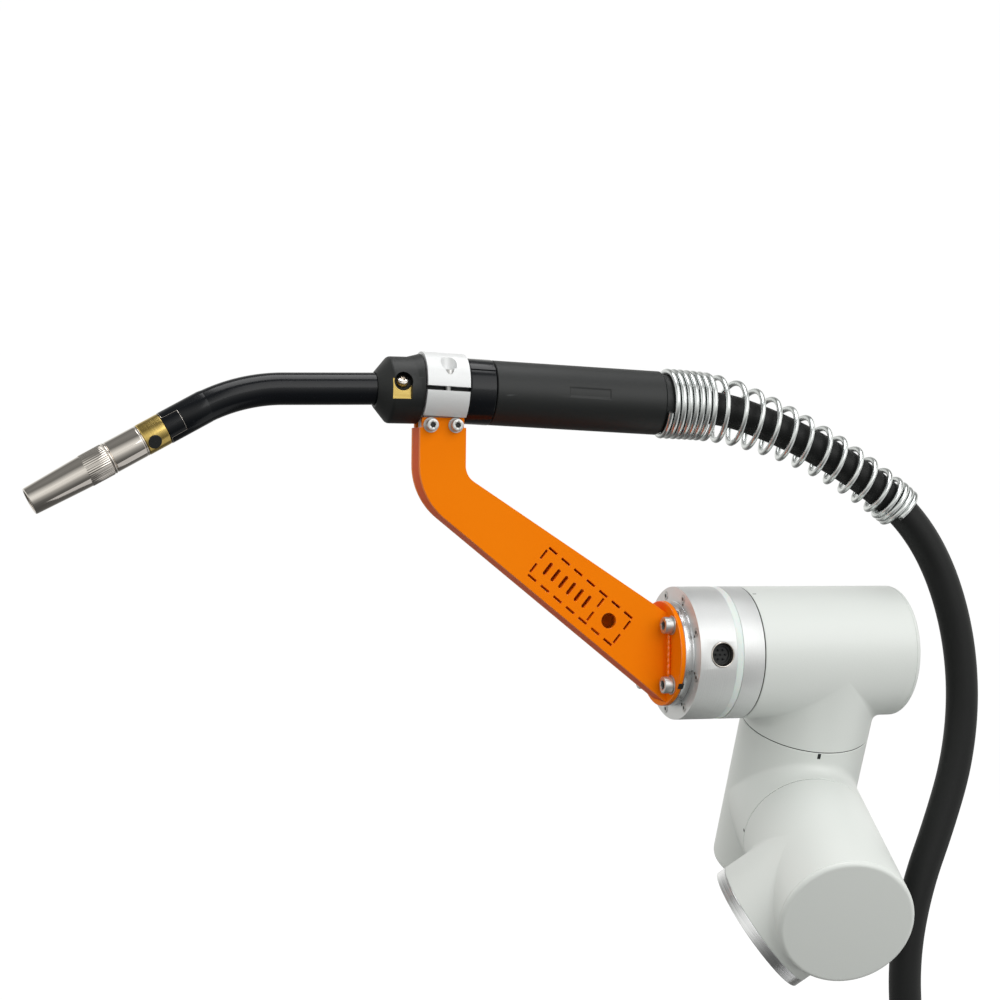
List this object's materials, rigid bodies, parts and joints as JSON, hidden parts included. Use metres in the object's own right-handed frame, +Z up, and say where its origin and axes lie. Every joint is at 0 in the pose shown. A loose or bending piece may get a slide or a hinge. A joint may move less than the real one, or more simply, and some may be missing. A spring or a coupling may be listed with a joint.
{
  "type": "robot arm wrist with welding torch",
  "caption": "Three-joint wrist of a jointed robot arm, with a box bracket on its tool flange that clamps an arc welding torch with swan neck, gas nozzle, kink spring and hose.",
  "frame": {"origin": "middle of the flange face that bolts to the arm's forearm", "axes": "+Z up, X along the tool flange's axis with the torch towards -X, -Y towards the viewer of the picture"},
  "size_m": [0.5878, 0.2066, 0.4944],
  "materials": {
    "housing_paint": "smooth satin light grey paint",
    "silver_anodised": "fine blasted silver anodising",
    "turned_aluminium": "bright turned",
    "light_ring": "milky translucent",
    "orange_powder_coat": "glossy orange powder coat",
    "zinc_steel": "bright zinc plating",
    "bright_nickel": "polished nickel plating",
    "black_plastic": "moulded matt black",
    "black_gloss": "glossy black sleeve",
    "brass": "turned brass",
    "copper": "drawn copper",
    "galvanised_wire": "galvanised spring wire",
    "hose_rubber": "matt black hose cover"
  },
  "bodies": {
    "wrist_1": {"wrist_1_housing": "housing_paint", "wrist_1_end_cap": "housing_paint", "forearm_flange": "turned_aluminium"},
    "wrist_2": {"wrist_2_housing": "housing_paint", "wrist_2_end_cap": "housing_paint", "joint_4_hub": "turned_aluminium"},
    "wrist_3": {"wrist_3_housing": "housing_paint", "wrist_3_end_cap": "housing_paint", "joint_5_hub": "turned_aluminium"},
    "tool": {"joint_6_hub": "turned_aluminium", "rear_ring": "silver_anodised", "light_ring": "light_ring", "front_ring": "silver_anodised", "tool_flange": "turned_aluminium", "socket_shell": "bright_nickel", "socket_insert": "black_plastic", "bracket_disc": "orange_powder_coat", "flange_bolts": "zinc_steel", "bracket_near_plate": "orange_powder_coat", "bracket_far_plate": "orange_powder_coat", "bracket_outer_strip": "orange_powder_coat", "bracket_inner_strip": "orange_powder_coat", "clamp_upper_half": "silver_anodised", "clamp_lower_half": "silver_anodised", "clamp_screws": "zinc_steel", "tang_bolts": "zinc_steel", "torch_core": "black_plastic", "torch_front_shell": "black_plastic", "handle_collar": "black_gloss", "handle_barrel": "black_plastic", "swan_neck": "black_gloss", "neck_insulator": "black_gloss", "neck_ring": "brass", "ring_plug": "black_plastic", "nozzle_adapter": "bright_nickel", "gas_nozzle": "bright_nickel", "gas_diffuser": "brass", "contact_tip": "copper", "neck_clamp_block": "brass", "neck_clamp_screw": "zinc_steel", "torch_hose": "hose_rubber", "hose_spring": "galvanised_wire", "connector_nut": "black_plastic", "connector_body": "brass"}
  },
  "joints": [
    {"name": "joint_4", "type": "hinge", "parent": "wrist_1", "child": "wrist_2", "pos_m": [0.05675, 0.07029, 0.06961], "axis": [-0.2045, -0.9017, -0.3809], "range_deg": [-60, 60]},
    {"name": "joint_5", "type": "hinge", "parent": "wrist_2", "child": "wrist_3", "pos_m": [0.05675, 0.03079, 0.16311], "axis": [0, -0.3891, 0.9212], "range_deg": [-10, 90]},
    {"name": "joint_6", "type": "hinge", "parent": "wrist_3", "child": "tool", "pos_m": [0.05675, 0.03079, 0.16311], "axis": [1, 0, 0], "range_deg": [-90, 90]}
  ]
}
